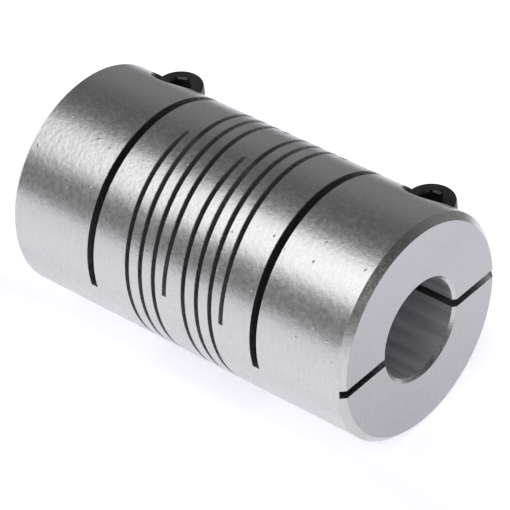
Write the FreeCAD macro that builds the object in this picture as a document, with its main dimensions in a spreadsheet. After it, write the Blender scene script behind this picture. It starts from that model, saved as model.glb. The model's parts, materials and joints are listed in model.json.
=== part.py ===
import FreeCAD, Part
import Sketcher
import math
import os

# Beam coupling turned from one aluminium bar, with a split clamp and a cap screw at each end.
# Two sets of three helical beams make it flexible. The one-piece body is divided where it works as
# different members: hubs, clamp jaws, the webs that the jaws bend on, beams and the centre ring.
# Frame: origin at the centre of the coupling on its axis, +X along the axis, +Y towards the open
# side of the clamps, +Z towards the screw heads. Millimetres.

doc = FreeCAD.newDocument("beam_coupling")

# ---------------------------------------------------------------- driving dimensions
DIMENSIONS = [
    ("outer_dia", 32.0, "outside diameter of the bar"),
    ("total_length", 58.0, "length over both end faces"),
    ("bore_dia", 14.0, "shaft bore"),
    ("relief_dia", 14.8, "bore under the beams, clear of the shafts"),
    ("edge_chamfer", 0.95, "chamfer at the rim of each end face"),
    ("bore_chamfer", 0.45, "chamfer at each mouth of the bore"),
    ("lead", 6.9, "axial advance of a helical slit in one turn"),
    ("sweep_angle", 442.0, "angle that one slit covers, in degrees"),
    ("ease_angle", 45.0, "angle over which a slit's slope fades out at each end"),
    ("first_angle", 92.0, "where the first slit starts, from +Y towards +Z"),
    ("beam_slit", 0.7, "width of a helical slit"),
    ("slit_tip", 0.6, "share of that width at the tip where a slit starts"),
    ("tip_angle", 15.0, "angle over which the tip widens"),
    ("set_start", 1.1, "axial distance from the middle to the start of the near slits"),
    ("slot_width", 1.15, "width of the slot that frees a jaw from the hub"),
    ("slot_inset", 14.8, "from an end face to the middle of that slot"),
    ("slot_floor", 2.9, "depth of that slot below the axis"),
    ("split_width", 1.2, "width of the saw cut that splits a clamp"),
    ("split_drop", 0.45, "middle of that saw cut below the axis"),
    ("saw_dia", 64.5, "diameter of the saw that splits a clamp"),
    ("saw_reach", 17.35, "saw centre beyond the end face"),
    ("saw_side", 11.0, "saw centre to the open side of the clamp"),
    ("screw_side", 11.5, "screw axis to the open side of the clamp"),
    ("seat_height", 6.85, "seat under the screw head, above the axis"),
    ("head_dia", 7.0, "cap screw head"),
    ("head_height", 4.0, "cap screw head height"),
    ("head_edge", 0.3, "bevel round the top of the head"),
    ("socket_width", 3.0, "hexagon socket across flats"),
    ("socket_depth", 2.0, "depth of the socket"),
    ("thread_dia", 4.0, "screw thread"),
    ("screw_length", 16.0, "screw length under the head"),
    ("tip_bevel", 0.5, "bevel at the end of the thread"),
    ("counterbore_dia", 7.4, "recess for the head"),
    ("clearance_dia", 4.5, "hole through the jaw"),
    ("tapped_dia", 4.2, "hole in the hub, at the thread's outside"),
    ("spare", 3.0, "how far cutting tools run past the body"),
]
sheet = doc.addObject("Spreadsheet::Sheet", "Sizes")
for line, (alias, value, meaning) in enumerate(DIMENSIONS, start=1):
    sheet.set(f"A{line}", alias)
    sheet.set(f"B{line}", str(value))
    sheet.set(f"C{line}", meaning)
    sheet.setAlias(f"B{line}", alias)
doc.recompute()

STARTS = 3
SIDES = {"left": -1, "right": 1}
HALF_LENGTH = "Sizes.total_length / 2"
OUTER = "Sizes.outer_dia / 2"
PAST = f"{OUTER} + Sizes.spare"
SLOT_MIDDLE = f"({HALF_LENGTH} - Sizes.slot_inset)"


def size(alias):
    """A driving dimension as a plain number, for shapes made with Part's own functions."""
    return float(sheet.get(alias))


# ---------------------------------------------------------------- small builders
def bind(thing, **formulas):
    """Bind properties to sheet formulas. Double underscores stand for dots."""
    for prop, formula in formulas.items():
        thing.setExpression(prop.replace("__", "."), formula)
    return thing


def block(name, x0, x1, y0, y1, z0, z1):
    """A box between three pairs of formulas."""
    thing = doc.addObject("Part::Box", name)
    return bind(
        thing,
        Length=f"({x1}) - ({x0})",
        Width=f"({y1}) - ({y0})",
        Height=f"({z1}) - ({z0})",
        Placement__Base__x=x0,
        Placement__Base__y=y0,
        Placement__Base__z=z0,
    )


def drum(name, radius, height, x, y, z):
    """An upright cylinder that stands on the point x, y, z."""
    thing = doc.addObject("Part::Cylinder", name)
    return bind(
        thing,
        Radius=radius,
        Height=height,
        Placement__Base__x=x,
        Placement__Base__y=y,
        Placement__Base__z=z,
    )


def joined(name, things):
    thing = doc.addObject("Part::MultiFuse", name)
    thing.Shapes = things
    return thing


def shared(name, things):
    thing = doc.addObject("Part::MultiCommon", name)
    thing.Shapes = things
    return thing


def gathered(name, things):
    thing = doc.addObject("Part::Compound", name)
    thing.Links = things
    return thing


def less(name, base, tool):
    thing = doc.addObject("Part::Cut", name)
    thing.Base = base
    thing.Tool = tool
    return thing


def solid_feature(name, shape):
    thing = doc.addObject("Part::Feature", name)
    thing.Shape = shape
    return thing


def origin_item(body, role):
    return next(item for item in body.Origin.OriginFeatures if item.Role == role)


def outline(body, name, plane, corners):
    """A closed sketch of straight lines, each corner placed by two formulas and rough numbers."""
    sketch = body.newObject("Sketcher::SketchObject", name)
    sketch.AttachmentSupport = [(origin_item(body, plane), "")]
    sketch.MapMode = "FlatFace"
    rough = [FreeCAD.Vector(*corner[2], 0) for corner in corners]
    for here, there in zip(rough, rough[1:] + rough[:1]):
        sketch.addGeometry(Part.LineSegment(here, there), False)
    count = len(corners)
    for index in range(count):
        sketch.addConstraint(Sketcher.Constraint("Coincident", index, 2, (index + 1) % count, 1))
    for index, (along, across, (u, v)) in enumerate(corners):
        for kind, formula, value in (("DistanceX", along, u), ("DistanceY", across, v)):
            place = sketch.addConstraint(Sketcher.Constraint(kind, -1, 1, index, 1, value))
            sketch.setExpression(f"Constraints[{place}]", formula)
    return sketch


# ---------------------------------------------------------------- the turned bar
def turned_bar():
    """Revolved half section: bore, relieved middle, and chamfers at bore mouths and rims."""
    half = size("total_length") / 2
    outer = size("outer_dia") / 2
    bore = size("bore_dia") / 2
    relief = size("relief_dia") / 2
    edge = size("edge_chamfer")
    mouth = size("bore_chamfer")
    step = size("set_start") + set_length() + size("beam_slit")
    step_formula = f"Sizes.set_start + {set_length_formula()} + Sizes.beam_slit"
    right = [
        (step_formula, "Sizes.relief_dia / 2", (step, relief)),
        (step_formula, "Sizes.bore_dia / 2", (step, bore)),
        (f"{HALF_LENGTH} - Sizes.bore_chamfer", "Sizes.bore_dia / 2", (half - mouth, bore)),
        (HALF_LENGTH, "Sizes.bore_dia / 2 + Sizes.bore_chamfer", (half, bore + mouth)),
        (HALF_LENGTH, f"{OUTER} - Sizes.edge_chamfer", (half, outer - edge)),
        (f"{HALF_LENGTH} - Sizes.edge_chamfer", OUTER, (half - edge, outer)),
    ]
    left = [(f"-({x})", r, (-u, v)) for x, r, (u, v) in reversed(right)]
    body = doc.addObject("PartDesign::Body", "bar")
    sketch = outline(body, "bar_section", "XY_Plane", right + left)
    turn = body.newObject("PartDesign::Revolution", "bar_turned")
    turn.Profile = sketch
    turn.ReferenceAxis = (origin_item(body, "X_Axis"), [""])
    turn.Angle = 360
    return body


# ---------------------------------------------------------------- helical slits
def advance(angle):
    """Axial advance of a slit after an angle: its slope fades in and out over ease_angle."""
    lead = size("lead")
    ease = size("ease_angle")
    sweep = size("sweep_angle")
    if angle < ease:
        return lead * angle**2 / (2 * ease) / 360
    if angle > sweep - ease:
        return lead * (sweep - ease) / 360 - lead * (sweep - angle) ** 2 / (2 * ease) / 360
    return lead * (angle - ease / 2) / 360


def set_length():
    """Axial length of one set of slits, between the middles of its first and last turns."""
    return size("lead") * (size("sweep_angle") - size("ease_angle")) / 360


def set_length_formula():
    return "Sizes.lead * (Sizes.sweep_angle - Sizes.ease_angle) / 360"


def set_origin(sign):
    """Where the slits of a set start: both sets run the same way, so the left one ends near zero."""
    if sign > 0:
        return size("set_start")
    return -size("set_start") - set_length()


SPAN_STEP = 15.0


def strip(lower, upper, start, stop, inner, outer):
    """Solid between two helicoids.

    lower and upper give x for an unwrapped angle, start and stop are radial end planes in degrees,
    and inner and outer are its radii.
    """
    count = max(4, round((stop - start) / SPAN_STEP))
    angles = [start + (stop - start) * step / count for step in range(count + 1)]

    def rail(height, radius):
        points = []
        for angle in angles:
            turned = math.radians(angle)
            points.append(
                FreeCAD.Vector(height(angle), radius * math.cos(turned), radius * math.sin(turned))
            )
        curve = Part.BSplineCurve()
        curve.interpolate(points, Parameters=[math.radians(angle) for angle in angles])
        return curve.toShape()

    rails = [rail(lower, inner), rail(lower, outer), rail(upper, outer), rail(upper, inner)]
    faces = []
    for here, there in zip(rails, rails[1:] + rails[:1]):
        faces.append(Part.makeRuledSurface(here, there))
    for end in (0, -1):
        corners = [edge.Vertexes[end].Point for edge in rails]
        faces.append(Part.Face(Part.makePolygon(corners + corners[:1])))
    shell = Part.makeShell(faces)
    shell.sewShape()
    made = Part.makeSolid(shell)
    if made.Volume < 0:
        made.reverse()
    return made


def slit_line(sign, index):
    """Middle of slit number index in a set, as x for an unwrapped angle."""
    begin = size("first_angle") + index * 360 / STARTS
    return begin, lambda angle: set_origin(sign) + advance(angle - begin)


def slit_cutter(sign, index):
    begin, middle = slit_line(sign, index)
    tip = size("slit_tip")
    inner = size("bore_dia") / 2 - size("spare")
    outer = size("outer_dia") / 2 + size("spare")

    def half(angle):
        share = tip + (1 - tip) * (angle - begin) / size("tip_angle")
        return size("beam_slit") / 2 * min(1, share)

    return strip(
        lambda angle: middle(angle) - half(angle),
        lambda angle: middle(angle) + half(angle),
        begin,
        begin + size("sweep_angle"),
        inner,
        outer,
    )


def beam_zone(sign, index, part=0, parts=1):
    """Zone of a beam, or of one of several equal lengths of it. Its sides lie inside the slits."""
    begin, below = slit_line(sign, index)
    _, above = slit_line(sign, index - 1)
    margin = size("beam_slit") / 4
    length = size("sweep_angle") - 360 / STARTS
    inner = size("bore_dia") / 2 - size("spare") / 2
    outer = size("outer_dia") / 2 + size("spare") / 2
    return strip(
        lambda angle: below(angle) + margin,
        lambda angle: above(angle) - margin,
        begin + length * part / parts,
        begin + length * (part + 1) / parts,
        inner,
        outer,
    )


# ---------------------------------------------------------------- clamp cuts at one end
def mirrored(sign, low, high):
    """A pair of formulas along X, mirrored for the left end."""
    if sign > 0:
        return low, high
    return f"-({high})", f"-({low})"


def screw_place(sign):
    """The screw stands midway between the jaw's two end faces."""
    return f"{sign} * ({HALF_LENGTH} + {SLOT_MIDDLE} + Sizes.slot_width / 2) / 2"


def clamp_tools(side, sign):
    """Everything cut at one end: jaw slot, saw cut, and the holes for the screw."""
    low, high = mirrored(
        sign,
        f"{SLOT_MIDDLE} - Sizes.slot_width / 2",
        f"{SLOT_MIDDLE} + Sizes.slot_width / 2",
    )
    slot = block(f"{side}_slot", low, high, f"-({PAST})", PAST, "-Sizes.slot_floor", PAST)
    saw = drum(
        f"{side}_saw",
        "Sizes.saw_dia / 2",
        "Sizes.split_width",
        f"{sign} * ({HALF_LENGTH} + Sizes.saw_reach)",
        "Sizes.saw_side",
        "-Sizes.split_drop - Sizes.split_width / 2",
    )
    screw_x = screw_place(sign)
    recess = drum(
        f"{side}_recess",
        "Sizes.counterbore_dia / 2",
        OUTER,
        screw_x,
        "Sizes.screw_side",
        "Sizes.seat_height",
    )
    clearance = drum(
        f"{side}_clearance",
        "Sizes.clearance_dia / 2",
        "Sizes.seat_height + Sizes.split_drop + Sizes.spare / 2",
        screw_x,
        "Sizes.screw_side",
        "-Sizes.split_drop",
    )
    tapped = drum(
        f"{side}_tapped",
        "Sizes.tapped_dia / 2",
        OUTER,
        screw_x,
        "Sizes.screw_side",
        f"-({OUTER}) - Sizes.split_drop",
    )
    return [slot, saw, recess, clearance, tapped]


def clamp_zones(side, sign):
    """Boxes that hold the jaw and the web it bends on."""
    low, high = mirrored(sign, SLOT_MIDDLE, f"{HALF_LENGTH} + Sizes.spare")
    jaw_low = "-Sizes.split_drop + Sizes.split_width / 2"
    web_low = "-Sizes.split_drop - Sizes.split_width / 2"
    jaw = block(f"{side}_jaw_zone", low, high, f"-({PAST})", PAST, jaw_low, PAST)
    web = block(f"{side}_web_zone", low, high, f"-({PAST})", "0", web_low, jaw_low)
    return jaw, web


# ---------------------------------------------------------------- cap screw
def cap_screw(side, sign):
    """Socket head cap screw, seated on its jaw, head up."""
    screw_x = screw_place(sign)
    screw_y = "Sizes.screw_side"
    head = drum(
        f"{side}_head",
        "Sizes.head_dia / 2",
        "Sizes.head_height - Sizes.head_edge",
        screw_x,
        screw_y,
        "Sizes.seat_height",
    )
    bevel = bind(
        doc.addObject("Part::Cone", f"{side}_head_bevel"),
        Radius1="Sizes.head_dia / 2",
        Radius2="Sizes.head_dia / 2 - Sizes.head_edge",
        Height="Sizes.head_edge",
        Placement__Base__x=screw_x,
        Placement__Base__y=screw_y,
        Placement__Base__z="Sizes.seat_height + Sizes.head_height - Sizes.head_edge",
    )
    thread = drum(
        f"{side}_thread",
        "Sizes.thread_dia / 2",
        "Sizes.screw_length - Sizes.tip_bevel",
        screw_x,
        screw_y,
        "Sizes.seat_height - Sizes.screw_length + Sizes.tip_bevel",
    )
    tip = bind(
        doc.addObject("Part::Cone", f"{side}_tip"),
        Radius1="Sizes.thread_dia / 2 - Sizes.tip_bevel",
        Radius2="Sizes.thread_dia / 2",
        Height="Sizes.tip_bevel",
        Placement__Base__x=screw_x,
        Placement__Base__y=screw_y,
        Placement__Base__z="Sizes.seat_height - Sizes.screw_length",
    )
    socket = bind(
        doc.addObject("Part::Prism", f"{side}_socket"),
        Circumradius="Sizes.socket_width / 2 / cos(30)",
        Height="Sizes.socket_depth + Sizes.spare",
        Placement__Base__x=screw_x,
        Placement__Base__y=screw_y,
        Placement__Base__z="Sizes.seat_height + Sizes.head_height - Sizes.socket_depth",
    )
    socket.Polygon = 6
    blank = joined(f"{side}_screw_blank", [head, bevel, thread, tip])
    return less(f"{side}_clamp_screw", blank, socket)


# ---------------------------------------------------------------- build
bar = turned_bar()
cuts = []
for side, sign in SIDES.items():
    cuts += clamp_tools(side, sign)
    for index in range(STARTS):
        cuts.append(solid_feature(f"{side}_slit_{index + 1}", slit_cutter(sign, index)))
machined = less("machined", bar, joined("all_cuts", cuts))

subparts = []
beam_zones = []
for side, sign in SIDES.items():
    # the slits run towards +X, so a left beam starts at its hub and a right one at the ring
    ends = ("outer", "inner") if sign < 0 else ("inner", "outer")
    for index in range(STARTS):
        for part, end in enumerate(ends):
            name = f"{side}_beam_{index + 1}_{end}"
            zone = solid_feature(f"{name}_zone", beam_zone(sign, index, part, len(ends)))
            subparts.append(shared(name, [machined, zone]))
        beam_zones.append(solid_feature(f"{side}_beam_{index + 1}_zone", beam_zone(sign, index)))

stiff_parts = less("stiff_parts", machined, gathered("all_beam_zones", beam_zones))
set_middle = f"(Sizes.set_start + {set_length_formula()} / 2)"
ring_zone = block("ring_zone", f"-{set_middle}", set_middle, f"-({PAST})", PAST, f"-({PAST})", PAST)
subparts.append(shared("centre_ring", [stiff_parts, ring_zone]))

for side, sign in SIDES.items():
    low, high = mirrored(sign, set_middle, f"{HALF_LENGTH} + Sizes.spare")
    hub_zone = block(f"{side}_hub_zone", low, high, f"-({PAST})", PAST, f"-({PAST})", PAST)
    jaw_zone, web_zone = clamp_zones(side, sign)
    subparts.append(shared(f"{side}_clamp_jaw", [machined, jaw_zone]))
    subparts.append(shared(f"{side}_clamp_web", [machined, web_zone]))
    hub_end = shared(f"{side}_hub_end", [stiff_parts, hub_zone])
    clamp_zone = joined(f"{side}_clamp_zone", [jaw_zone, web_zone])
    subparts.append(less(f"{side}_hub", hub_end, clamp_zone))
    subparts.append(cap_screw(side, sign))

doc.recompute()

# ---------------------------------------------------------------- checks and files
for thing in doc.Objects:
    if "Invalid" in thing.State or "Error" in thing.State:
        raise RuntimeError(f"{thing.Name} failed: {thing.State}")

os.makedirs("parts", exist_ok=True)
for thing in subparts:
    shape = thing.Shape
    if shape.isNull() or not shape.isValid() or len(shape.Solids) != 1:
        raise RuntimeError(f"{thing.Label}: {len(shape.Solids)} solids, valid {shape.isValid()}")
    shape.exportStep(f"parts/{thing.Label}.step")
    box = shape.BoundBox
    print(
        f"{thing.Label:24} {shape.Volume:9.2f} mm3"
        f"  x {box.XMin:7.2f} {box.XMax:7.2f}  y {box.YMin:7.2f} {box.YMax:7.2f}"
        f"  z {box.ZMin:7.2f} {box.ZMax:7.2f}"
    )
print(len(subparts), "sub-parts")
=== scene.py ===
import json
import math

import bmesh
import bpy
import numpy as np
from mathutils import Matrix, Vector


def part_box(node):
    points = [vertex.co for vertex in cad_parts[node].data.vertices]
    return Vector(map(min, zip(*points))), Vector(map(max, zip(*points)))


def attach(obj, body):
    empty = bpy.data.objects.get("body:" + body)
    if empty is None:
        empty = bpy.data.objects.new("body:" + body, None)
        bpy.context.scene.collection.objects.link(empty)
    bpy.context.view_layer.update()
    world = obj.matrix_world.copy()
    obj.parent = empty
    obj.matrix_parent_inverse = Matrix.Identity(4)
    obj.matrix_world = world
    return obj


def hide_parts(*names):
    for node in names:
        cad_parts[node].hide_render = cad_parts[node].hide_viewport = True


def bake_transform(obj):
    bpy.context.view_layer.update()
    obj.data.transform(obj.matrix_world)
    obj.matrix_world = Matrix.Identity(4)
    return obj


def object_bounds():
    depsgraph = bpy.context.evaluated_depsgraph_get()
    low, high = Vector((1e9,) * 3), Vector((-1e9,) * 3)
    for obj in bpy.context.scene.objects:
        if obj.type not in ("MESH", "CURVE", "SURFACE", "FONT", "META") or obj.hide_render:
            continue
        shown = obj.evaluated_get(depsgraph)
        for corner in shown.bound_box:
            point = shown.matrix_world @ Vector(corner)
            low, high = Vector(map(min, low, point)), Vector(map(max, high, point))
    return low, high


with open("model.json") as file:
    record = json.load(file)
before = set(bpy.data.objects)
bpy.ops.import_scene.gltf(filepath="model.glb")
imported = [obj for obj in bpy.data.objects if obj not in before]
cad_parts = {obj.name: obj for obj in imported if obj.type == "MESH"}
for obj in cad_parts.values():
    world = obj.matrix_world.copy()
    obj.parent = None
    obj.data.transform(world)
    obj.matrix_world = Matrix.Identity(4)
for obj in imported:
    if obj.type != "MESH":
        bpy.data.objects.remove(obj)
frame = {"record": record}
CAD_BOX = [list(corner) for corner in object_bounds()]

# ---------------------------------------------------------------- sizes, in metres
MM = 0.001
TINY = 0.0001 * MM
OUTER_R = (CAD_BOX[1][2] - CAD_BOX[0][2]) / 2
HALF_LENGTH = (CAD_BOX[1][0] - CAD_BOX[0][0]) / 2
BORE = frame["record"]["mounts"][0]["dims"]
BORE_R = BORE["r_mm"] * MM
BORE_CHAMFER = 0.45 * MM
RELIEF_R = 7.4 * MM
RELIEF_END = HALF_LENGTH - BORE_CHAMFER - BORE["length_mm"] * MM
EDGE_CHAMFER = 0.95 * MM
BREAK = 0.07 * MM

STARTS = 3
LEAD = 6.9 * MM
SWEEP = 442.0
EASE = 45.0
FIRST_ANGLE = 92.0
SLIT = 0.7 * MM
SLIT_TIP = 0.6
TIP_ANGLE = 15.0
SET_LENGTH = LEAD * (SWEEP - EASE) / 360
SET_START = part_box("right_beam_1_inner")[0][0] - SLIT / 2 * SLIT_TIP
BEAM_SWEEP = SWEEP - 360 / STARTS

JAW_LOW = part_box("right_clamp_jaw")[0]
SPLIT_TOP = JAW_LOW[2]
SPLIT = 1.2 * MM
SLOT = 1.15 * MM
SLOT_OUTER = JAW_LOW[0]
SLOT_FLOOR = -2.9 * MM
SAW_R = 32.25 * MM
SAW_X = HALF_LENGTH + 17.35 * MM
SAW_Y = 11 * MM

SCREW_LOW, SCREW_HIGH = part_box("right_clamp_screw")
SCREW_X = (SCREW_LOW[0] + SCREW_HIGH[0]) / 2
SCREW_Y = (SCREW_LOW[1] + SCREW_HIGH[1]) / 2
HEAD_R = (SCREW_HIGH[0] - SCREW_LOW[0]) / 2
HEAD_HEIGHT = 4 * MM
HEAD_TOP = SCREW_HIGH[2]
SEAT = HEAD_TOP - HEAD_HEIGHT
TIP = SCREW_LOW[2]
RECESS_R = 3.7 * MM
CLEARANCE_R = 2.25 * MM
THREAD_R = 2.0 * MM
PITCH = 0.7 * MM
THREAD_DEPTH = 0.43 * MM
THREAD_BEVEL = 0.5 * MM
TAP_CLEARANCE = 0.1 * MM
LEAD_IN = 0.5 * MM
SOCKET = 3.2 * MM
SOCKET_DEPTH = 2.0 * MM
SOCKET_ANGLES = {-1: 37, 1: 53}
HEAD_CORNER = 0.35 * MM
KNURL_DEPTH = 0.07 * MM
KNURL_RIDGES = 48
SEAT_GAP = 0.005 * MM

SPARE = 2 * MM
SIDES = {"left": -1, "right": 1}
TURN_STEPS = 360
HOLE_STEPS = 96
TAP_STEPS = 48
SCREW_STEPS = 192
THREAD_STEPS = 12
SWEEP_STEP = 2.0
JOIN = 1e-8


# ---------------------------------------------------------------- mesh tools
def new_object(name, mesh):
    thing = bpy.data.objects.new(name, mesh)
    bpy.context.scene.collection.objects.link(thing)
    return thing


def drop(thing):
    mesh = thing.data
    bpy.data.objects.remove(thing)
    bpy.data.meshes.remove(mesh)


def clean(mesh):
    """Joins doubled points, drops empty faces and turns every face outwards."""
    work = bmesh.new()
    work.from_mesh(mesh)
    bmesh.ops.remove_doubles(work, verts=work.verts, dist=JOIN)
    bmesh.ops.dissolve_degenerate(work, edges=work.edges, dist=JOIN)
    bmesh.ops.recalc_face_normals(work, faces=work.faces)
    work.to_mesh(mesh)
    work.free()


def loft(name, rings, looped=False):
    """A closed mesh through rings of points: a ring again when looped, or else capped at both ends."""
    rings = np.asarray(rings, float)
    count, points = rings.shape[:2]
    faces = []
    for here in range(count if looped else count - 1):
        there = (here + 1) % count
        for point in range(points):
            beside = (point + 1) % points
            faces.append(
                (
                    here * points + point,
                    here * points + beside,
                    there * points + beside,
                    there * points + point,
                )
            )
    if not looped:
        faces.append(tuple(range(points)))
        faces.append(tuple((count - 1) * points + point for point in range(points)))
    mesh = bpy.data.meshes.new(name)
    mesh.from_pydata(rings.reshape(-1, 3).tolist(), [], faces)
    clean(mesh)
    return new_object(name, mesh)


def round_axis(profile, angle):
    """Profile points (x, radius) turned to an angle about the X axis, from +Y towards +Z."""
    cosine, sine = math.cos(math.radians(angle)), math.sin(math.radians(angle))
    return [(x, radius * cosine, radius * sine) for x, radius in profile]


def turned(name, profile):
    angles = [360 * step / TURN_STEPS for step in range(TURN_STEPS)]
    return loft(name, [round_axis(profile, angle) for angle in angles], looped=True)


def upright(name, profile, x, y, steps=HOLE_STEPS):
    """Profile points (radius, z) turned about a vertical axis, closed at both ends by caps."""
    rings = []
    for radius, z in profile:
        rings.append(
            [
                (
                    x + radius * math.cos(2 * math.pi * step / steps),
                    y + radius * math.sin(2 * math.pi * step / steps),
                    z,
                )
                for step in range(steps)
            ]
        )
    return loft(name, rings)


def block(name, low, high):
    x0, y0, z0 = low
    x1, y1, z1 = high
    rings = [[(x, y0, z0), (x, y1, z0), (x, y1, z1), (x, y0, z1)] for x in (x0, x1)]
    return loft(name, rings)


def combine(base, tool, operation):
    """Boolean of two closed meshes, applied to base; the tool is used up."""
    modifier = base.modifiers.new("boolean", "BOOLEAN")
    modifier.object = tool
    modifier.operation = operation
    modifier.solver = "MANIFOLD"
    bpy.context.view_layer.update()
    graph = bpy.context.evaluated_depsgraph_get()
    result = bpy.data.meshes.new_from_object(base.evaluated_get(graph))
    base.modifiers.clear()
    old = base.data
    base.data = result
    bpy.data.meshes.remove(old)
    drop(tool)
    return base


def subtract(base, tool):
    combine(base, tool, "DIFFERENCE")


def portion(name, base, zone):
    """The part of base inside a zone, as a new object."""
    piece = new_object(name, base.data.copy())
    return combine(piece, zone, "INTERSECT")


# ---------------------------------------------------------------- the one-piece body
def advance(angle):
    """Axial advance of a slit after an angle: its slope fades in and out over EASE."""
    if angle < EASE:
        return LEAD * angle**2 / (2 * EASE) / 360
    if angle > SWEEP - EASE:
        return SET_LENGTH - LEAD * (SWEEP - angle) ** 2 / (2 * EASE) / 360
    return LEAD * (angle - EASE / 2) / 360


def set_origin(sign):
    return SET_START if sign > 0 else -SET_START - SET_LENGTH


def sweep_angles(start, length):
    count = math.ceil(length / SWEEP_STEP)
    return [start + length * index / count for index in range(count + 1)]


def slit_cutter(sign, index):
    """A slit, narrower where it starts, with its edges broken where it meets the outside."""
    begin = FIRST_ANGLE + index * 360 / STARTS
    inner = BORE_R - SPARE
    outer = OUTER_R + SPARE
    rings = []
    for angle in sweep_angles(begin, SWEEP):
        middle = set_origin(sign) + advance(angle - begin)
        half = SLIT / 2 * min(1, SLIT_TIP + (1 - SLIT_TIP) * (angle - begin) / TIP_ANGLE)
        flare = half + BREAK + SPARE
        profile = [
            (middle - half, inner),
            (middle + half, inner),
            (middle + half, OUTER_R - BREAK),
            (middle + flare, outer),
            (middle - flare, outer),
            (middle - half, OUTER_R - BREAK),
        ]
        rings.append(round_axis(profile, angle))
    return loft(f"slit_{sign}_{index}", rings)


def beam_zone(sign, index):
    """Zone of one beam, between the middles of the slits on its two sides."""
    begin = FIRST_ANGLE + index * 360 / STARTS
    inner = BORE_R - SPARE / 2
    outer = OUTER_R + SPARE / 2
    margin = SLIT / 4
    rings = []
    for angle in sweep_angles(begin, BEAM_SWEEP):
        low = set_origin(sign) + advance(angle - begin) + margin
        high = set_origin(sign) + advance(angle - begin + 360 / STARTS) - margin
        profile = [(low, inner), (high, inner), (high, outer), (low, outer)]
        rings.append(round_axis(profile, angle))
    return loft(f"beam_zone_{sign}_{index}", rings)


def blank():
    """The bar after turning: chamfered rims and bore mouths, and the bore relieved in the middle."""
    right = [
        (RELIEF_END, RELIEF_R),
        (RELIEF_END, BORE_R),
        (HALF_LENGTH - BORE_CHAMFER, BORE_R),
        (HALF_LENGTH, BORE_R + BORE_CHAMFER),
        (HALF_LENGTH, OUTER_R - EDGE_CHAMFER),
        (HALF_LENGTH - EDGE_CHAMFER, OUTER_R),
    ]
    left = [(-x, radius) for x, radius in reversed(right)]
    return turned("body", right + left)


def slot_cutter(sign):
    """Ring-shaped cut with broken edges, down to a flat floor below the axis."""
    middle = sign * (SLOT_OUTER - SLOT / 2)
    half = SLOT / 2
    flare = half + BREAK + SPARE
    inner = BORE_R - SPARE
    outer = OUTER_R + SPARE
    profile = [
        (middle - half, inner),
        (middle + half, inner),
        (middle + half, OUTER_R - BREAK),
        (middle + flare, outer),
        (middle - flare, outer),
        (middle - half, OUTER_R - BREAK),
    ]
    ring = turned(f"slot_{sign}", profile)
    reach = OUTER_R + 2 * SPARE
    upper = block(
        "upper",
        (middle - 2 * flare, -reach, SLOT_FLOOR),
        (middle + 2 * flare, reach, reach),
    )
    return combine(ring, upper, "INTERSECT")


def saw_cutter(sign):
    profile = [
        (TINY, SPLIT_TOP - SPLIT),
        (SAW_R, SPLIT_TOP - SPLIT),
        (SAW_R, SPLIT_TOP),
        (TINY, SPLIT_TOP),
    ]
    return upright(f"saw_{sign}", profile, sign * SAW_X, SAW_Y, TURN_STEPS)


def thread_wave(phase):
    """Depth of a thread, 0 at its crest and 1 at its root, over one pitch."""
    phase = phase % 1.0
    crest, root = 0.125, 0.25
    flank = (1 - crest - root) / 2
    if phase < crest:
        return 0.0
    if phase < crest + flank:
        return (phase - crest) / flank
    if phase < crest + flank + root:
        return 1.0
    return (1 - phase) / flank


def thread_rings(x, y, low, high, radius, steps, bevel=0.0):
    """Rings up a right-handed thread, with its lower end bevelled."""
    count = round((high - low) / PITCH * THREAD_STEPS)
    rings = []
    for level in range(count + 1):
        z = low + (high - low) * level / count
        ring = []
        for step in range(steps):
            depth = THREAD_DEPTH * thread_wave(z / PITCH - step / steps)
            here = radius - depth
            if bevel:
                here = min(here, radius - bevel + (z - low))
            angle = 2 * math.pi * step / steps
            ring.append((x + here * math.cos(angle), y + here * math.sin(angle), z))
        rings.append(ring)
    return rings


def hole_cutters(sign):
    """Recess for the head, clearance hole through the jaw, and the tapped hole with its thread."""
    split_middle = SPLIT_TOP - SPLIT / 2
    mouth = SPLIT_TOP - SPLIT

    def bore(name, *profile):
        return upright(f"{name}_{sign}", profile, sign * SCREW_X, SCREW_Y)

    def drilled(name, radius, low, high):
        return bore(name, (TINY, low), (radius, low), (radius, high), (TINY, high))

    recess = drilled("recess", RECESS_R, SEAT, OUTER_R + SPARE)
    clearance = drilled("clearance", CLEARANCE_R, split_middle, SEAT + 10 * TINY)
    tap = THREAD_R + TAP_CLEARANCE
    thread = thread_rings(sign * SCREW_X, SCREW_Y, -OUTER_R, split_middle, tap, TAP_STEPS)
    tapped = loft(f"tapped_{sign}", thread)
    lead_in = bore(
        "lead_in",
        (TINY, mouth - LEAD_IN),
        (THREAD_R - 0.3 * MM, mouth - LEAD_IN),
        (THREAD_R + 0.25 * MM, mouth + LEAD_IN / 10),
        (TINY, mouth + LEAD_IN / 10),
    )
    return [recess, clearance, tapped, lead_in]


def one_piece_body():
    body = blank()
    for sign in SIDES.values():
        for index in range(STARTS):
            subtract(body, slit_cutter(sign, index))
        subtract(body, slot_cutter(sign))
        subtract(body, saw_cutter(sign))
        for cutter in hole_cutters(sign):
            subtract(body, cutter)
    return body


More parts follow.
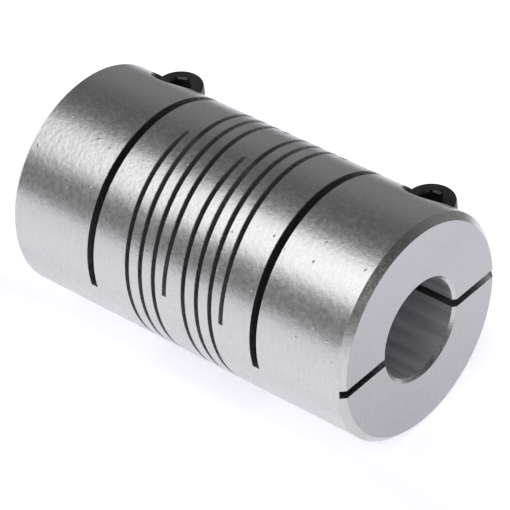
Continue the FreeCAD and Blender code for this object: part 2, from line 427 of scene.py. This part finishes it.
# ---------------------------------------------------------------- exact shading
def exact_normals(thing):
    """Gives turned surfaces the normals of their true shape, about the X axis or a screw's axis."""
    mesh = thing.data
    count = len(mesh.loops)
    points = np.empty(len(mesh.vertices) * 3)
    mesh.vertices.foreach_get("co", points)
    points = points.reshape(-1, 3)
    corner = np.empty(count, int)
    mesh.loops.foreach_get("vertex_index", corner)
    faces = len(mesh.polygons)
    normal = np.empty(faces * 3)
    mesh.polygons.foreach_get("normal", normal)
    normal = normal.reshape(-1, 3)
    centre = np.empty(faces * 3)
    mesh.polygons.foreach_get("center", centre)
    centre = centre.reshape(-1, 3)
    sizes = np.empty(faces, int)
    mesh.polygons.foreach_get("loop_total", sizes)
    owner = np.repeat(np.arange(faces), sizes)
    where = points[corner]
    result = normal[owner].copy()

    def about(axis_origin, along, first, second, wanted):
        """Carries a face's normal round an axis to each of its corners."""
        offset = where - axis_origin
        middle = centre - axis_origin
        face_angle = np.arctan2(middle[:, second], middle[:, first])
        corner_angle = np.arctan2(offset[:, second], offset[:, first])
        outward = normal[:, first] * np.cos(face_angle) + normal[:, second] * np.sin(face_angle)
        tangent = -normal[:, first] * np.sin(face_angle) + normal[:, second] * np.cos(face_angle)
        chosen = wanted(tangent, middle)[owner]
        out = outward[owner]
        side = tangent[owner]
        carried = np.zeros_like(result)
        carried[:, along] = normal[owner][:, along]
        carried[:, first] = out * np.cos(corner_angle) - side * np.sin(corner_angle)
        carried[:, second] = out * np.sin(corner_angle) + side * np.cos(corner_angle)
        result[chosen] = carried[chosen]

    def round_the_axis(tangent, middle):
        return np.abs(tangent) < 0.3

    about(np.zeros(3), 0, 1, 2, round_the_axis)
    near = 0.02 * MM
    for sign in SIDES.values():
        axis = np.array([sign * SCREW_X, SCREW_Y, 0.0])

        def wall(tangent, middle):
            distance = np.hypot(middle[:, 0], middle[:, 1])
            in_recess = np.abs(distance - RECESS_R) < near
            in_clearance = np.abs(distance - CLEARANCE_R) < near
            upright_face = (np.abs(normal[:, 2]) < 0.05) & (np.abs(tangent) < 0.2)
            return (in_recess | in_clearance) & upright_face

        about(axis, 2, 0, 1, wall)
    mesh.polygons.foreach_set("use_smooth", np.ones(faces, bool))
    mesh.normals_split_custom_set(result.tolist())
    mesh.update()


# ---------------------------------------------------------------- screws
def hexagon(width, angle):
    """Distance to a hexagon's side at an angle, for a width across flats."""
    return width / 2 / math.cos((angle % (math.pi / 3)) - math.pi / 6)


def cap_screw(name, sign):
    """Socket head cap screw: hexagon socket, rounded and knurled head, and a rolled thread."""
    x = sign * SCREW_X
    angles = [2 * math.pi * step / SCREW_STEPS for step in range(SCREW_STEPS)]
    twist = math.radians(SOCKET_ANGLES[sign])
    rings = []

    def ring(z, radius):
        rings.append(
            [
                (x + radius(angle) * math.cos(angle), SCREW_Y + radius(angle) * math.sin(angle), z)
                for angle in angles
            ]
        )

    def hexagonal(width):
        return lambda angle: hexagon(width, angle + twist)

    def plain(radius):
        return lambda angle: radius

    def knurled(radius):
        def between_ridges(angle):
            return (0.5 + 0.5 * math.cos(KNURL_RIDGES * angle)) ** 0.6

        return lambda angle: radius - KNURL_DEPTH * between_ridges(angle)

    floor = HEAD_TOP - SOCKET_DEPTH
    ring(floor - 0.45 * MM, plain(0.02 * MM))
    ring(floor, plain(SOCKET / 2 - 0.06 * MM))
    ring(floor + 0.05 * MM, hexagonal(SOCKET))
    ring(HEAD_TOP - 0.22 * MM, hexagonal(SOCKET))
    ring(HEAD_TOP, plain(SOCKET / 2 / math.cos(math.pi / 6) + 0.05 * MM))
    for step in range(6):
        turn = math.radians(90 * step / 5)
        ring(
            HEAD_TOP - HEAD_CORNER + HEAD_CORNER * math.cos(turn),
            plain(HEAD_R - 0.05 * MM - HEAD_CORNER + HEAD_CORNER * math.sin(turn)),
        )
    ring(HEAD_TOP - HEAD_CORNER - 0.15 * MM, plain(HEAD_R - 0.02 * MM))
    ring(HEAD_TOP - HEAD_CORNER - 0.25 * MM, knurled(HEAD_R))
    ring(SEAT + 0.35 * MM, knurled(HEAD_R))
    ring(SEAT + 0.25 * MM, plain(HEAD_R - 0.06 * MM))
    ring(SEAT + 0.08 * MM, plain(HEAD_R - 0.1 * MM))
    ring(SEAT + SEAT_GAP, plain(HEAD_R - 0.2 * MM))
    ring(SEAT + SEAT_GAP, plain(THREAD_R + 0.15 * MM))
    ring(SEAT - 0.15 * MM, plain(THREAD_R))
    ring(SEAT - 0.3 * MM, plain(THREAD_R - 0.15 * MM))
    top = SEAT - 0.5 * MM
    thread = thread_rings(x, SCREW_Y, TIP, top, THREAD_R, SCREW_STEPS, THREAD_BEVEL)
    rings.extend(reversed(thread))
    ring(TIP, plain(0.05 * MM))
    screw = loft(name, rings)
    screw.data.polygons.foreach_set("use_smooth", np.ones(len(screw.data.polygons), bool))
    screw.data.set_sharp_from_angle(angle=math.radians(32))
    return screw


# ---------------------------------------------------------------- materials
REST_PLACE = "rest_place"
TURNING_FINE = 6000.0
TURNING_ROUND = 6.0
# Scales of the streaks that paint bands of reflection along the bore.
REFLECTION_STREAKS_ALONG = 40.0
REFLECTION_STREAKS_ROUND = 5.0
GRAIN_SCALE = 5200.0
CLOUD_SCALE = 1500.0
NICK_SCALE = 850.0
NICK_SIZE = 0.2
NICK_CHANCE = 0.12
SKIN = 0.12 * MM
FACE_DEPTH = 0.02 * MM
BORE_WALL = 0.1 * MM
TOWARDS_AXIS = -0.85


def keep_rest_place(mesh):
    """Stores where each point is at rest, so that the finish stays put on a piece that bends."""
    points = np.empty(len(mesh.vertices) * 3)
    mesh.vertices.foreach_get("co", points)
    mesh.attributes.new(REST_PLACE, "FLOAT_VECTOR", "POINT").data.foreach_set("vector", points)


class Nodes:
    """Short hand for building a node tree."""

    def __init__(self, tree):
        self.tree = tree

    def add(self, kind, inputs=None, **settings):
        node = self.tree.nodes.new(kind)
        for key, value in settings.items():
            setattr(node, key, value)
        for key, value in (inputs or {}).items():
            if isinstance(value, bpy.types.NodeSocket):
                self.link(value, node.inputs[key])
            else:
                node.inputs[key].default_value = value
        return node

    def link(self, value, socket):
        self.tree.links.new(value, socket)

    def sum(self, operation, *values):
        """One step of arithmetic on sockets or numbers."""
        node = self.add("ShaderNodeMath", operation=operation)
        for index, value in enumerate(values):
            if isinstance(value, bpy.types.NodeSocket):
                self.link(value, node.inputs[index])
            else:
                node.inputs[index].default_value = value
        return node.outputs[0]

    def ramp(self, value, stops):
        """A ramp from a 0 to 1 value, through (place, grey or colour) stops."""
        node = self.add("ShaderNodeValToRGB", {"Fac": value})
        elements = node.color_ramp.elements
        while len(elements) < len(stops):
            elements.new(0.5)
        for element, (place, colour) in zip(elements, stops):
            element.position = place
            if isinstance(colour, (int, float)):
                colour = (colour, colour, colour)
            element.color = (*colour, 1)
        return node.outputs["Color"]


def new_material(name):
    material = bpy.data.materials.new(name)
    material.use_nodes = True
    nodes = Nodes(material.node_tree)
    shader = material.node_tree.nodes["Principled BSDF"]
    return material, nodes, shader


def multiplied(nodes, first, second):
    """One colour times another."""
    inputs = {"Factor": 1.0, "A": first, "B": second}
    node = nodes.add("ShaderNodeMix", inputs, data_type="RGBA", blend_type="MULTIPLY")
    return node.outputs["Result"]


def turned_coordinates(nodes):
    """Places at rest, and x, radius and angle about the coupling's axis."""
    place = nodes.add("ShaderNodeAttribute", attribute_name=REST_PLACE).outputs["Vector"]
    parts = nodes.add("ShaderNodeSeparateXYZ", {"Vector": place}).outputs
    square_y = nodes.sum("MULTIPLY", parts["Y"], parts["Y"])
    square_z = nodes.sum("MULTIPLY", parts["Z"], parts["Z"])
    radius = nodes.sum("SQRT", nodes.sum("ADD", square_y, square_z))
    angle = nodes.sum("ARCTAN2", parts["Z"], parts["Y"])
    return place, parts["X"], radius, angle


def metal_patterns(nodes, place, x, radius, angle):
    """Turning lines round the outside, streaks along the bore for its painted bands of reflection, fine
    grain and soft clouds.
    """

    def noise(scale, vector):
        settings = {"Vector": vector, "Scale": scale, "Detail": 2.0}
        return nodes.add("ShaderNodeTexNoise", settings).outputs["Fac"]

    around = nodes.add(
        "ShaderNodeCombineXYZ",
        {
            "X": nodes.sum("MULTIPLY", x, TURNING_FINE),
            "Y": nodes.sum("MULTIPLY", radius, TURNING_FINE),
            "Z": nodes.sum("MULTIPLY", angle, TURNING_ROUND),
        },
    ).outputs[0]
    along = nodes.add(
        "ShaderNodeCombineXYZ",
        {
            "X": nodes.sum("MULTIPLY", x, REFLECTION_STREAKS_ALONG),
            "Y": nodes.sum("MULTIPLY", angle, REFLECTION_STREAKS_ROUND),
        },
    ).outputs[0]
    return {
        "feed": noise(1.0, around),
        "reflection_streak": noise(1.0, along),
        "grain": noise(GRAIN_SCALE, place),
        "cloud": noise(CLOUD_SCALE, place),
    }


def metal_regions(nodes, place, x, radius):
    """Masks: end faces, walls of all the cuts, those of the sawn cuts alone, and the bore."""
    outward = nodes.add("ShaderNodeVectorMath", {0: place, 1: (0, 1, 1)}, operation="MULTIPLY")
    outward = nodes.add("ShaderNodeVectorMath", {0: outward.outputs[0]}, operation="NORMALIZE")
    normal = nodes.add("ShaderNodeTexCoord").outputs["Normal"]
    facing = nodes.add(
        "ShaderNodeVectorMath", {0: outward.outputs[0], 1: normal}, operation="DOT_PRODUCT"
    )
    facing_axis = nodes.sum("LESS_THAN", facing.outputs["Value"], TOWARDS_AXIS)

    from_end = nodes.sum("SUBTRACT", HALF_LENGTH, nodes.sum("ABSOLUTE", x))
    below_skin = nodes.sum("LESS_THAN", radius, OUTER_R - SKIN)
    behind_rim = nodes.sum("GREATER_THAN", from_end, EDGE_CHAMFER + BREAK)
    cut = nodes.sum("MULTIPLY", below_skin, behind_rim)
    in_clamp = nodes.sum("LESS_THAN", from_end, HALF_LENGTH - SLOT_OUTER + 1.5 * SLOT)
    in_bore = nodes.sum("LESS_THAN", radius, RELIEF_R + BORE_WALL)
    return {
        "faced": nodes.sum("LESS_THAN", from_end, FACE_DEPTH),
        "cut": cut,
        "sawn": nodes.sum("MULTIPLY", in_clamp, cut),
        "bored": nodes.sum("MULTIPLY", in_bore, facing_axis),
    }


def metal_colour(nodes, patterns, regions):
    feed = nodes.sum("MULTIPLY", patterns["feed"], 0.6)
    cloud = nodes.sum("MULTIPLY", patterns["cloud"], 0.4)
    tone = nodes.sum("ADD", feed, cloud)
    colour = nodes.ramp(tone, [(0.3, (0.53, 0.53, 0.535)), (0.7, (0.62, 0.62, 0.625))])
    # Painted light and reflection: the middle of the bore gets a lighter colour, streaked along the axis
    # as painted bands of reflection.
    bore_painted_light_stops = [(0.35, (0.7, 0.69, 0.71)), (0.65, (0.95, 0.94, 0.96))]
    layers = {
        "faced": (0.43, 0.425, 0.44, 1),
        # Painted light: inner surfaces get a lighter colour than the outside, to lift the shade inside
        # the cuts and the bore.
        "cut": (0.7, 0.7, 0.71, 1),
        "sawn": (0.42, 0.42, 0.425, 1),
        "bored": nodes.ramp(patterns["reflection_streak"], bore_painted_light_stops),
    }
    for region, other in layers.items():
        inputs = {"Factor": regions[region], "A": colour, "B": other}
        colour = nodes.add("ShaderNodeMix", inputs, data_type="RGBA").outputs["Result"]
    return colour


def metal_roughness(nodes, patterns, regions):
    """Mottled by the grain and the clouds, with a least value for the cuts and for the bore."""
    rough = nodes.sum("ADD", 0.15, nodes.sum("MULTIPLY", patterns["grain"], 0.08))
    rough = nodes.sum("ADD", rough, nodes.sum("MULTIPLY", patterns["cloud"], 0.16))
    for region, least in (("cut", 0.42), ("bored", 0.5)):
        rough = nodes.sum("MAXIMUM", rough, nodes.sum("MULTIPLY", regions[region], least))
    return rough


def metal_bump(nodes, place, patterns):
    """Shallow relief of the patterns, and a few round nicks."""
    cells = nodes.add("ShaderNodeTexVoronoi", {"Vector": place, "Scale": NICK_SCALE}, feature="F1")
    inside = nodes.sum("SUBTRACT", NICK_SIZE, cells.outputs["Distance"])
    depth = nodes.sum("MAXIMUM", inside, 0.0)
    chance = nodes.add("ShaderNodeSeparateColor", {"Color": cells.outputs["Color"]}).outputs[0]
    nick = nodes.sum("MULTIPLY", depth, nodes.sum("GREATER_THAN", chance, 1 - NICK_CHANCE))
    layers = [
        (patterns["cloud"], 0.6, 0.036),
        (patterns["feed"], 0.2, 0.004),
        (patterns["grain"], 0.6, 0.012),
        (nick, 1.0, 0.24),
    ]
    bump = None
    for height, strength, distance in layers:
        inputs = {"Strength": strength, "Distance": distance * MM, "Height": height}
        if bump:
            inputs["Normal"] = bump
        bump = nodes.add("ShaderNodeBump", inputs).outputs["Normal"]
    return bump


def turned_aluminium():
    """Fine turned outside; the ends and the inner surfaces of the clamps are darker, the other inner
    surfaces are painted lighter to lift the shade inside the cuts, and the middle of the bore is painted
    lighter still with painted bands of reflection along it; each has its own polish.
    """
    material, nodes, shader = new_material("turned_aluminium")
    place, x, radius, angle = turned_coordinates(nodes)
    patterns = metal_patterns(nodes, place, x, radius, angle)
    regions = metal_regions(nodes, place, x, radius)
    nodes.link(metal_colour(nodes, patterns, regions), shader.inputs["Base Color"])
    nodes.link(metal_roughness(nodes, patterns, regions), shader.inputs["Roughness"])
    nodes.link(metal_bump(nodes, place, patterns), shader.inputs["Normal"])
    shader.inputs["Metallic"].default_value = 1.0
    shader.inputs["Anisotropic"].default_value = 0.5
    tangent = nodes.add("ShaderNodeTangent", direction_type="RADIAL", axis="X")
    nodes.link(tangent.outputs[0], shader.inputs["Tangent"])
    return material


def black_oxide():
    material, nodes, shader = new_material("black_oxide_steel")
    place = nodes.add("ShaderNodeTexCoord").outputs["Object"]

    def noise(scale, detail):
        settings = {"Vector": place, "Scale": scale, "Detail": detail}
        return nodes.add("ShaderNodeTexNoise", settings).outputs["Fac"]

    grain = noise(2600.0, 4.0)
    wear = noise(420.0, 3.0)
    colour = nodes.ramp(wear, [(0.35, (0.012, 0.012, 0.013)), (0.75, (0.045, 0.044, 0.043))])
    nodes.link(colour, shader.inputs["Base Color"])
    rough = nodes.sum("ADD", 0.22, nodes.sum("MULTIPLY", grain, 0.16))
    nodes.link(rough, shader.inputs["Roughness"])
    bump = nodes.add("ShaderNodeBump", {"Strength": 0.3, "Distance": 0.01 * MM, "Height": grain})
    nodes.link(bump.outputs["Normal"], shader.inputs["Normal"])
    shader.inputs["Metallic"].default_value = 0.35
    shader.inputs["Specular IOR Level"].default_value = 0.5
    return material


PAPER_START = -0.05
PAPER_LENGTH = 0.35


def white_paper():
    """A pale sheet that glows though it is no lamp, with a painted shadow where the glow dips under the
    coupling, the most glow behind it, and painted shade far behind it.

    Apart from a faint grain it changes along Y only, over PAPER_LENGTH from PAPER_START.
    """
    material, nodes, shader = new_material("white_paper")
    place = nodes.add("ShaderNodeTexCoord").outputs["Object"]
    grain = nodes.add(
        "ShaderNodeTexNoise", {"Vector": place, "Scale": 30.0, "Detail": 2.0}
    ).outputs["Fac"]
    behind = nodes.add("ShaderNodeSeparateXYZ", {"Vector": place}).outputs["Y"]
    share = nodes.sum("DIVIDE", nodes.sum("ADD", behind, -PAPER_START), PAPER_LENGTH)

    def lilac(level):
        return level, 0.99 * level, 1.035 * level

    # Painted shade: the sheet's colour falls from 0.965 to 0.245 far behind the coupling.
    far_painted_shade = nodes.ramp(share, [(0.36, lilac(0.965)), (0.47, lilac(0.245))])
    paper = nodes.ramp(grain, [(0.3, 0.9), (0.7, 0.92)])
    nodes.link(multiplied(nodes, paper, far_painted_shade), shader.inputs["Base Color"])
    # Painted light: the glow paints a shadow where it dips under the coupling, is brightest behind it
    # and fades far behind it.
    levels = [
        (0.063, 0.58),
        (0.086, 0.46),
        (0.11, 0.44),
        (0.12, 0.55),
        (0.21, 0.7),
        (0.37, 0.76),
        (0.47, 0.147),
    ]
    glow = nodes.ramp(share, [(stop, lilac(level)) for stop, level in levels])
    nodes.link(glow, shader.inputs["Emission Color"])
    shader.inputs["Emission Strength"].default_value = 1.0
    shader.inputs["Roughness"].default_value = 0.9
    shader.inputs["Specular IOR Level"].default_value = 0.0
    return material


# ---------------------------------------------------------------- dividing the body among the CAD bodies
SLAB_REACH = OUTER_R + SPARE


def finish_metal(piece, material, slot_name, *nodes):
    keep_rest_place(piece.data)
    piece.data.materials.clear()
    piece.data.materials.append(material)
    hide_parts(*nodes)


def slab(name, x0, x1, z0=-SLAB_REACH, z1=SLAB_REACH, y1=SLAB_REACH):
    """A zone between two planes across the axis, open to the sides unless they are given."""
    return block(name, (x0, -SLAB_REACH, z0), (x1, y1, z1))


ALUMINIUM = "machined_aluminium"
STEEL = "black_oxide_steel"
CORE = 0.8 * MM  # half the length of the middle stretch of a set
BEYOND = HALF_LENGTH + SPARE


def flex_zones(side, sign):
    """Stretches of a set along X: (name, low x, high x, body at the low end, body at the high end)."""
    start = set_origin(sign)
    middle = start + SET_LENGTH / 2
    outer = f"{side}_beams_outer"
    inner = f"{side}_beams_inner"
    bodies = [f"{side}_hub", outer, inner, "centre_ring"]
    if sign > 0:
        bodies.reverse()
    places = [start, middle - CORE, middle + CORE, start + SET_LENGTH]
    return [
        (label, places[index], places[index + 1], bodies[index], bodies[index + 1])
        for index, label in enumerate(("a", "b", "c"))
    ]


def bent(piece):
    """Bakes a piece's placement into its points."""
    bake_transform(piece)


def divide_beams(body, material):
    for side, sign in SIDES.items():
        zones = flex_zones(side, sign)
        ends = ("outer", "inner") if sign < 0 else ("inner", "outer")
        for index in range(STARTS):
            number = index + 1
            beam = portion(f"beam_{side}_{number}", body, beam_zone(sign, index))
            for zone in zones:
                label, low, high = zone[:3]
                piece = portion(f"{side}_beam_{number}_{label}", beam, slab("zone", low, high))
                exact_normals(piece)
                replaced = {"a": ends[:1], "b": ends, "c": ends[1:]}[label]
                nodes = [f"{side}_beam_{number}_{end}" for end in replaced]
                finish_metal(piece, material, ALUMINIUM, *nodes)
                bent(piece)
            drop(beam)
            subtract(body, beam_zone(sign, index))


def divide_ring(stiff, material):
    left = flex_zones("left", -1)[-1]
    right = flex_zones("right", 1)[0]
    middle = portion("centre_ring_middle", stiff, slab("zone", left[2], right[1]))
    exact_normals(middle)
    finish_metal(middle, material, ALUMINIUM, "centre_ring")
    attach(middle, "centre_ring")
    for side, zone in (("left", left), ("right", right)):
        lip = portion(f"centre_ring_{side}_lip", stiff, slab("zone", zone[1], zone[2]))
        exact_normals(lip)
        finish_metal(lip, material, ALUMINIUM, "centre_ring")
        bent(lip)


def divide_hub(stiff, side, sign, material):
    zones = flex_zones(side, sign)
    zone = zones[0] if sign < 0 else zones[-1]
    edge = zone[1] if sign < 0 else zone[2]
    lip = portion(f"{side}_hub_lip", stiff, slab("zone", zone[1], zone[2]))
    exact_normals(lip)
    finish_metal(lip, material, ALUMINIUM, f"{side}_hub")
    bent(lip)

    slot_middle = sign * (SLOT_OUTER - SLOT / 2)
    outside = sorted((slot_middle, sign * BEYOND))
    jaw = portion(f"{side}_jaw", stiff, slab("zone", *outside, z0=SPLIT_TOP))
    exact_normals(jaw)
    finish_metal(jaw, material, ALUMINIUM, f"{side}_clamp_jaw")
    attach(jaw, f"{side}_jaw")

    web = portion(
        f"{side}_web", stiff, slab("zone", *outside, z0=SPLIT_TOP - SPLIT, z1=SPLIT_TOP, y1=0.0)
    )
    exact_normals(web)
    finish_metal(web, material, ALUMINIUM, f"{side}_clamp_web")
    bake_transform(web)

    hub = portion(f"{side}_hub_body", stiff, slab("zone", *sorted((edge, sign * BEYOND))))
    subtract(hub, slab("jaw_zone", *outside, z0=SPLIT_TOP))
    subtract(hub, slab("web_zone", *outside, z0=SPLIT_TOP - SPLIT, z1=SPLIT_TOP, y1=0.0))
    exact_normals(hub)
    finish_metal(hub, material, ALUMINIUM, f"{side}_hub")
    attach(hub, f"{side}_hub")


def make_coupling():
    metal = turned_aluminium()
    body = one_piece_body()
    divide_beams(body, metal)
    divide_ring(body, metal)
    for side, sign in SIDES.items():
        divide_hub(body, side, sign, metal)
    drop(body)
    black = black_oxide()
    for side, sign in SIDES.items():
        screw = cap_screw(f"{side}_screw", sign)
        finish_metal(screw, black, STEEL, f"{side}_clamp_screw")
        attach(screw, f"{side}_screw")


# ---------------------------------------------------------------- studio
def make_camera():
    data = bpy.data.cameras.new("camera")
    data.lens = 226.6
    data.sensor_width = 36.0
    data.clip_start = 0.01
    camera = new_object("camera", data)
    place = Vector((0.2327, -0.2422, 0.26424))
    right = Vector((0.75661, 0.65034, -0.06783))
    up = Vector((-0.36493, 0.50606, 0.78149))
    back = right.cross(up)
    turn = Matrix((right, up, back)).transposed()
    camera.matrix_world = Matrix.Translation(place) @ turn.to_4x4()
    bpy.context.scene.camera = camera


def make_floor():
    reach = 4.0
    thickness = 0.01
    ground = block("floor", (-reach, -reach, -OUTER_R - thickness), (reach, reach, -OUTER_R))
    ground.data.materials.append(white_paper())


def softbox(name, angle, half_width, distance, x, length, power):
    """A long area light parallel to the axis, at an angle about it from +Y towards +Z."""
    data = bpy.data.lights.new(name, "AREA")
    data.shape = "RECTANGLE"
    data.size = length
    data.size_y = 2 * distance * math.tan(math.radians(half_width))
    data.energy = power
    light = new_object(name, data)
    turn = math.radians(angle)
    away = Vector((0, math.cos(turn), math.sin(turn)))
    along = Vector((1, 0, 0))
    across = away.cross(along)
    basis = Matrix((along, across, away)).transposed()
    light.matrix_world = Matrix.Translation(Vector((x, 0, 0)) + away * distance) @ basis.to_4x4()


def make_world():
    """A dim room, darker high behind the coupling and beyond its right end."""
    world = bpy.data.worlds.new("room")
    bpy.context.scene.world = world
    world.use_nodes = True
    nodes = Nodes(world.node_tree)
    direction = nodes.add("ShaderNodeTexCoord").outputs["Generated"]
    parts = nodes.add("ShaderNodeSeparateXYZ", {"Vector": direction}).outputs
    angle = nodes.sum("ARCTAN2", parts["Z"], parts["Y"])
    share = nodes.sum("DIVIDE", angle, math.pi)
    stops = [(0.0, 0.3), (0.17, 0.27), (0.3, 0.14), (0.42, 0.14), (0.6, 0.22), (1.0, 0.2)]
    colour = nodes.ramp(share, stops)
    end_on = nodes.ramp(parts["X"], [(0.35, 1.0), (0.65, 0.5)])
    background = world.node_tree.nodes["Background"]
    nodes.link(multiplied(nodes, colour, end_on), background.inputs["Color"])
    background.inputs["Strength"].default_value = 1.0


def make_studio():
    make_floor()
    softbox("key", angle=119, half_width=22, distance=1.4, x=0.3, length=2.9, power=17.2)
    make_world()
    bpy.context.scene.view_settings.view_transform = "Standard"


make_camera()
make_coupling()
make_studio()
